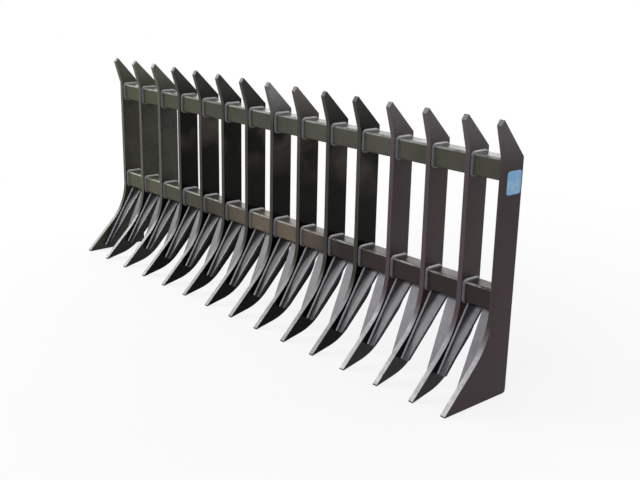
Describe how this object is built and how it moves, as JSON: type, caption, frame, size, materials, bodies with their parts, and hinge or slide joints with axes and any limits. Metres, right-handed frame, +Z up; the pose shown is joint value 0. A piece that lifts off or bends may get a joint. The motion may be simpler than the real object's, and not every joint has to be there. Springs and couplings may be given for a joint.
{
  "type": "root rake",
  "caption": "Root rake head: flat claw tines with raised horns on two square tubes, tied by tapered gussets, with level-footed end plates that it stands on.",
  "frame": {"origin": "centre of the rake's footprint, on the ground that its end plates and tips stand on", "axes": "+X along the tubes towards the end with the narrower bay, +Y from the tips to the back where a machine carries it, +Z up"},
  "size_m": [2.4206, 0.317, 0.971],
  "materials": {
    "black_enamel": "gloss black sprayed enamel over mill-finish plate and tube"
  },
  "bodies": {
    "root": {"end_plate_left": "black_enamel", "end_plate_right": "black_enamel", "lower_tube": "black_enamel", "lower_tube_welds": "black_enamel", "tine_02": "black_enamel", "tine_03": "black_enamel", "tine_04": "black_enamel", "tine_05": "black_enamel", "tine_06": "black_enamel", "tine_07": "black_enamel", "tine_08": "black_enamel", "tine_09": "black_enamel", "tine_10": "black_enamel", "tine_11": "black_enamel", "tine_12": "black_enamel", "tine_13": "black_enamel", "tine_14": "black_enamel", "upper_tube": "black_enamel", "upper_tube_welds": "black_enamel", "wing_01_right": "black_enamel", "wing_02_left": "black_enamel", "wing_02_right": "black_enamel", "wing_03_left": "black_enamel", "wing_03_right": "black_enamel", "wing_04_left": "black_enamel", "wing_04_right": "black_enamel", "wing_05_left": "black_enamel", "wing_05_right": "black_enamel", "wing_06_left": "black_enamel", "wing_06_right": "black_enamel", "wing_07_left": "black_enamel", "wing_07_right": "black_enamel", "wing_08_left": "black_enamel", "wing_08_right": "black_enamel", "wing_09_left": "black_enamel", "wing_09_right": "black_enamel", "wing_10_left": "black_enamel", "wing_10_right": "black_enamel", "wing_11_left": "black_enamel", "wing_11_right": "black_enamel", "wing_12_left": "black_enamel", "wing_12_right": "black_enamel", "wing_13_left": "black_enamel", "wing_13_right": "black_enamel", "wing_14_left": "black_enamel", "wing_14_right": "black_enamel", "wing_15_left": "black_enamel", "wing_welds": "black_enamel"}
  },
  "joints": []
}
